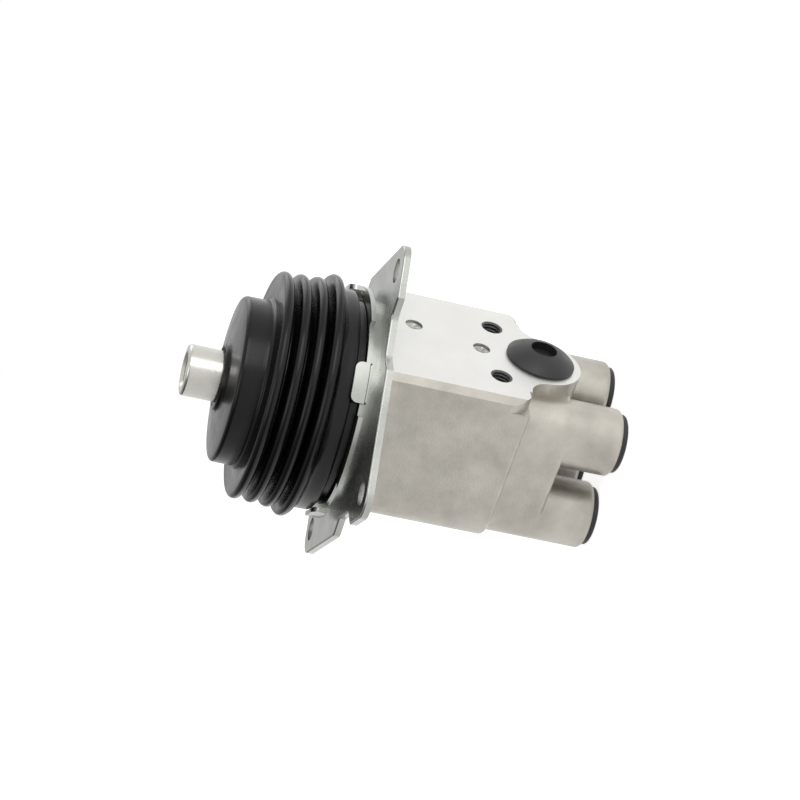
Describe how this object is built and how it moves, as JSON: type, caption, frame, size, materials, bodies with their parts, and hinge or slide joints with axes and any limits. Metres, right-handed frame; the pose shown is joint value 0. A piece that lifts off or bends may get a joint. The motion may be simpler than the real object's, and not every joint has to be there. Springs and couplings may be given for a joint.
{
  "type": "hydraulic pilot joystick valve",
  "caption": "Hydraulic pilot joystick valve: cast aluminium body, steel mounting plate, black rubber bellows and threaded lever stud on a universal joint with sprung plungers and spools",
  "frame": {"origin": "centre of the mounting plate's boot-side face, on the lever's axis at rest", "axes": "+Z along the lever at rest, +X out of the machined port face, -Y out of the plain cast front"},
  "size_m": [0.099, 0.099, 0.1167],
  "materials": {
    "cast_body": "satin cast, machined port face",
    "zinc_plate": "bright zinc plate",
    "rubber_black": "satin",
    "dark_steel": "phosphated",
    "bright_steel": "ground",
    "spring_steel": "drawn wire",
    "brass_bush": "turned",
    "plastic_black": "satin",
    "plated_stud": "bright plated, turned"
  },
  "bodies": {
    "housing": {"valve_body": "cast_body", "mounting_plate": "zinc_plate", "boot_retainer_ring": "zinc_plate", "bellows_boot": "rubber_black", "hold_down_plate": "dark_steel", "hold_down_screws": "dark_steel", "plunger_guides": "brass_bush", "guide_o_rings": "rubber_black", "plunger_wiper_seals": "rubber_black", "pressure_port_cap": "plastic_black", "tank_port_cap": "plastic_black", "port_cap_1": "plastic_black", "port_cap_2": "plastic_black", "port_cap_3": "plastic_black", "port_cap_4": "plastic_black", "drilling_plugs": "bright_steel", "joint_base": "dark_steel"},
    "cross": {"joint_cross": "bright_steel"},
    "lever": {"upper_yoke": "dark_steel", "swash_plate": "dark_steel", "lock_nut": "zinc_plate", "lever_stud": "plated_stud"},
    "plunger_1": {"plunger_1": "bright_steel", "spring_seat_1": "dark_steel", "metering_spring_1": "spring_steel", "return_spring_1": "spring_steel"},
    "spool_1": {"spool_1": "bright_steel"},
    "plunger_2": {"plunger_2": "bright_steel", "spring_seat_2": "dark_steel", "metering_spring_2": "spring_steel", "return_spring_2": "spring_steel"},
    "spool_2": {"spool_2": "bright_steel"},
    "plunger_3": {"plunger_3": "bright_steel", "spring_seat_3": "dark_steel", "metering_spring_3": "spring_steel", "return_spring_3": "spring_steel"},
    "spool_3": {"spool_3": "bright_steel"},
    "plunger_4": {"plunger_4": "bright_steel", "spring_seat_4": "dark_steel", "metering_spring_4": "spring_steel", "return_spring_4": "spring_steel"},
    "spool_4": {"spool_4": "bright_steel"}
  },
  "joints": [
    {"name": "tilt_a", "type": "hinge", "parent": "housing", "child": "cross", "pos_m": [0, 0, 0.015], "axis": [0.7071, -0.7071, 0], "range_deg": [-15, 15], "deforming": ["bellows_boot"]},
    {"name": "tilt_b", "type": "hinge", "parent": "cross", "child": "lever", "pos_m": [0, 0, 0.015], "axis": [0.7071, 0.7071, 0], "range_deg": [-15, 15], "deforming": ["bellows_boot"]},
    {"name": "plunger_slide_1", "type": "slide", "parent": "housing", "child": "plunger_1", "axis": [0, 0, 1], "range_m": [-0.00465, 0.00465], "stiffness_N_per_m": 600, "deforming": ["return_spring_1", "metering_spring_1"]},
    {"name": "spool_slide_1", "type": "slide", "parent": "housing", "child": "spool_1", "axis": [0, 0, 1], "range_m": [-0.0009, 0.0009]},
    {"name": "plunger_slide_2", "type": "slide", "parent": "housing", "child": "plunger_2", "axis": [0, 0, 1], "range_m": [-0.00488, 0.00488], "stiffness_N_per_m": 600, "deforming": ["return_spring_2", "metering_spring_2"]},
    {"name": "spool_slide_2", "type": "slide", "parent": "housing", "child": "spool_2", "axis": [0, 0, 1], "range_m": [-0.0009, 0.0009]},
    {"name": "plunger_slide_3", "type": "slide", "parent": "housing", "child": "plunger_3", "axis": [0, 0, 1], "range_m": [-0.005, 0.005], "deforming": ["return_spring_3", "metering_spring_3"]},
    {"name": "spool_slide_3", "type": "slide", "parent": "housing", "child": "spool_3", "axis": [0, 0, 1], "range_m": [-0.0009, 0.0009]},
    {"name": "plunger_slide_4", "type": "slide", "parent": "housing", "child": "plunger_4", "axis": [0, 0, 1], "range_m": [-0.005, 0.005], "deforming": ["return_spring_4", "metering_spring_4"]},
    {"name": "spool_slide_4", "type": "slide", "parent": "housing", "child": "spool_4", "axis": [0, 0, 1], "range_m": [-0.0009, 0.0009]}
  ],
  "couplings": [
    {"joint": "tilt_a", "follows": "plunger_slide_1", "rad_per_m": 56.211},
    {"joint": "plunger_slide_3", "follows": "plunger_slide_1", "ratio": -1},
    {"joint": "spool_slide_1", "follows": "plunger_slide_1", "ratio": 0.135},
    {"joint": "spool_slide_3", "follows": "plunger_slide_1", "ratio": -0.135},
    {"joint": "tilt_b", "follows": "plunger_slide_2", "rad_per_m": 53.562},
    {"joint": "plunger_slide_4", "follows": "plunger_slide_2", "ratio": -1},
    {"joint": "spool_slide_2", "follows": "plunger_slide_2", "ratio": 0.135},
    {"joint": "spool_slide_4", "follows": "plunger_slide_2", "ratio": -0.135}
  ]
}
